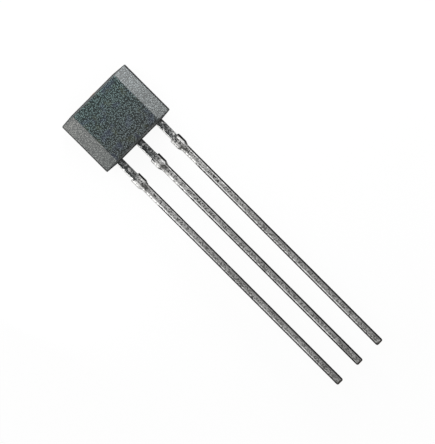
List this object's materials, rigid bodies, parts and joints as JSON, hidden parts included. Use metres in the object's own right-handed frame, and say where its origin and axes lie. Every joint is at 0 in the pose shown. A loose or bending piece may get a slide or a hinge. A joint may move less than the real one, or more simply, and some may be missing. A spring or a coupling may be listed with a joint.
{
  "type": "hall effect sensor",
  "caption": "Flat moulded magnetic field sensor with bevelled front edges and a row of long straight tinned leads.",
  "frame": {"origin": "centre of the body's flat back face", "axes": "+Z out of the front (sensing) face, +X across the leads from supply to output, leads run along -Y"},
  "size_m": [0.004, 0.0172, 0.0016],
  "materials": {
    "epoxy": "matte",
    "tinned_copper": "satin",
    "silicon": "polished",
    "glue": "satin",
    "gold": "gloss"
  },
  "bodies": {
    "root": {"moulded_body": "epoxy", "supply_lead": "tinned_copper", "ground_lead": "tinned_copper", "output_lead": "tinned_copper", "sensor_chip": "silicon", "chip_glue": "glue", "supply_bond_wire": "gold", "ground_bond_wire": "gold", "output_bond_wire": "gold"}
  },
  "joints": []
}
